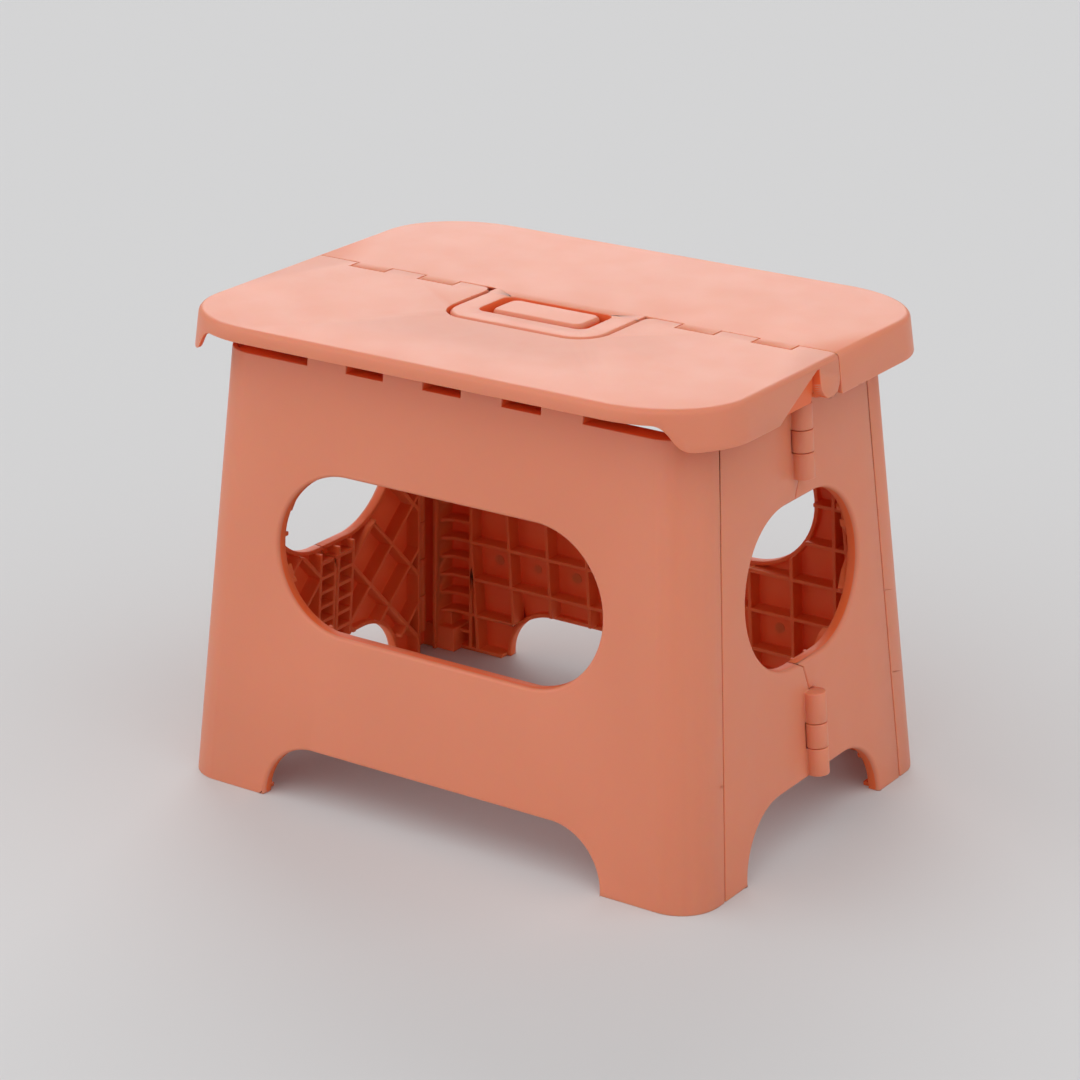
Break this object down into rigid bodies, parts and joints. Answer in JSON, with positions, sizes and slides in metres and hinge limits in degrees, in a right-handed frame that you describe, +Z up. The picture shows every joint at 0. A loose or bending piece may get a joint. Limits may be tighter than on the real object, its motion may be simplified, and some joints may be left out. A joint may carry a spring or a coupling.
{
  "type": "folding step stool",
  "caption": "Flat-folding plastic step stool with four leaning walls, side openings, a hinged seat in two halves and a pull-up handle loop.",
  "frame": {"origin": "centre of the base on the floor, under the middle of the seat", "axes": "+X along the long side of the seat, -Y the front, +Z up"},
  "size_m": [0.303, 0.2158, 0.231],
  "materials": {
    "plastic": "fine matte moulded polypropylene",
    "steel": "drawn steel wire"
  },
  "bodies": {
    "front_leg": {"front_leg_panel": "plastic", "front_leg_hinge_rod": "steel", "right_front_corner_pin": "steel", "left_front_corner_pin": "steel"},
    "right_front_side": {"right_front_side_half": "plastic", "right_upper_side_pin": "steel", "right_lower_side_pin": "steel"},
    "left_front_side": {"left_front_side_half": "plastic", "left_upper_side_pin": "steel", "left_lower_side_pin": "steel"},
    "right_rear_side": {"right_rear_side_half": "plastic"},
    "left_rear_side": {"left_rear_side_half": "plastic"},
    "rear_leg": {"rear_leg_panel": "plastic", "rear_leg_hinge_rod": "steel", "right_rear_corner_pin": "steel", "left_rear_corner_pin": "steel"},
    "front_seat": {"front_seat_half": "plastic", "right_seat_hinge_pin": "steel", "left_seat_hinge_pin": "steel"},
    "rear_seat": {"rear_seat_half": "plastic"}
  },
  "joints": [
    {"name": "right_front_corner_hinge", "type": "hinge", "parent": "front_leg", "child": "right_front_side", "pos_m": [0.13294, -0.0723, 0.1], "axis": [-0.0722, 0.0785, 0.9943], "range_deg": [0, 84]},
    {"name": "right_side_middle_hinge", "type": "hinge", "parent": "right_front_side", "child": "right_rear_side", "pos_m": [0.14087, 0, 0.1], "axis": [-0.081, 0, 0.9967], "range_deg": [-167.4, 0]},
    {"name": "right_rear_corner_hinge", "type": "hinge", "parent": "right_rear_side", "child": "rear_leg", "pos_m": [0.13294, 0.0723, 0.1], "axis": [-0.0722, -0.0785, 0.9943], "range_deg": [0, 84]},
    {"name": "left_front_corner_hinge", "type": "hinge", "parent": "front_leg", "child": "left_front_side", "pos_m": [-0.13294, -0.0723, 0.1], "axis": [0.0722, 0.0785, 0.9943], "range_deg": [-84, 0]},
    {"name": "left_side_middle_hinge", "type": "hinge", "parent": "left_front_side", "child": "left_rear_side", "pos_m": [-0.14087, 0, 0.1], "axis": [0.081, 0, 0.9967], "range_deg": [0, 167.4]},
    {"name": "front_seat_hinge", "type": "hinge", "parent": "front_leg", "child": "front_seat", "pos_m": [0, -0.0823, 0.223], "axis": [1, 0, 0], "range_deg": [0, 66]},
    {"name": "rear_seat_hinge", "type": "hinge", "parent": "rear_leg", "child": "rear_seat", "pos_m": [0, 0.0823, 0.223], "axis": [1, 0, 0], "range_deg": [-66, 0]}
  ],
  "couplings": [
    {"joint": "right_side_middle_hinge", "follows": "right_front_corner_hinge", "ratio": -1.992},
    {"joint": "right_rear_corner_hinge", "follows": "right_front_corner_hinge", "ratio": 1},
    {"joint": "left_front_corner_hinge", "follows": "right_front_corner_hinge", "ratio": -1},
    {"joint": "left_side_middle_hinge", "follows": "right_front_corner_hinge", "ratio": 1.992},
    {"joint": "front_seat_hinge", "follows": "right_front_corner_hinge", "ratio": 0.785},
    {"joint": "rear_seat_hinge", "follows": "right_front_corner_hinge", "ratio": -0.785}
  ]
}
